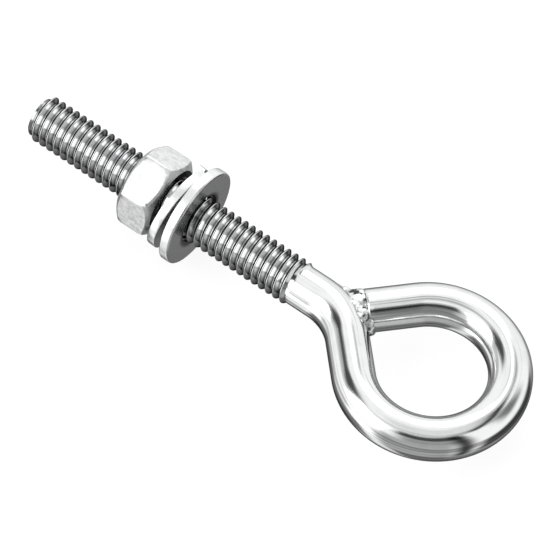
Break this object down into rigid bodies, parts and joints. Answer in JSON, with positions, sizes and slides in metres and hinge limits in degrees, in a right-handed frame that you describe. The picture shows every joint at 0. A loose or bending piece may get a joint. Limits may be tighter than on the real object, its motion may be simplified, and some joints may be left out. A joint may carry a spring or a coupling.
{
  "type": "eye bolt",
  "caption": "Bent-wire eye bolt with a welded eye and a long threaded shank, carrying a hex nut, a split lock washer and a flat washer.",
  "frame": {"origin": "on the shank's axis, half way along the whole bolt", "axes": "+X along the shank from the threaded tip to the eye, +Z square to the plane of the eye, up when the bolt lies on a table, +Y across the eye"},
  "size_m": [0.0938, 0.032, 0.017],
  "materials": {
    "eye_bolt_steel": "bright polished steel wire, rolled thread, darker rough weld bead",
    "nut_steel": "bright plated steel with fine tumbling marks",
    "lock_washer_steel": "bright plated spring steel with a rolled edge",
    "flat_washer_steel": "plated steel, satin flat faces and a bright stamped edge"
  },
  "bodies": {
    "bolt": {"eye_bolt": "eye_bolt_steel"},
    "lock_washer": {"lock_washer": "lock_washer_steel"},
    "nut": {"hex_nut": "nut_steel"},
    "flat_washer": {"flat_washer": "flat_washer_steel"}
  },
  "joints": [
    {"name": "nut_travel", "type": "slide", "parent": "bolt", "child": "lock_washer", "axis": [1, 0, 0], "range_m": [-0.0199, 0.0226]},
    {"name": "nut_turn", "type": "hinge", "parent": "lock_washer", "child": "nut", "pos_m": [0, 0, 0], "axis": [1, 0, 0], "range_deg": [-5058, 5760]},
    {"name": "flat_washer_slide", "type": "slide", "parent": "lock_washer", "child": "flat_washer", "axis": [1, 0, 0], "range_m": [0, 0.004]}
  ],
  "couplings": [
    {"joint": "nut_travel", "follows": "nut_turn", "m_per_rad": 0.00022459}
  ]
}
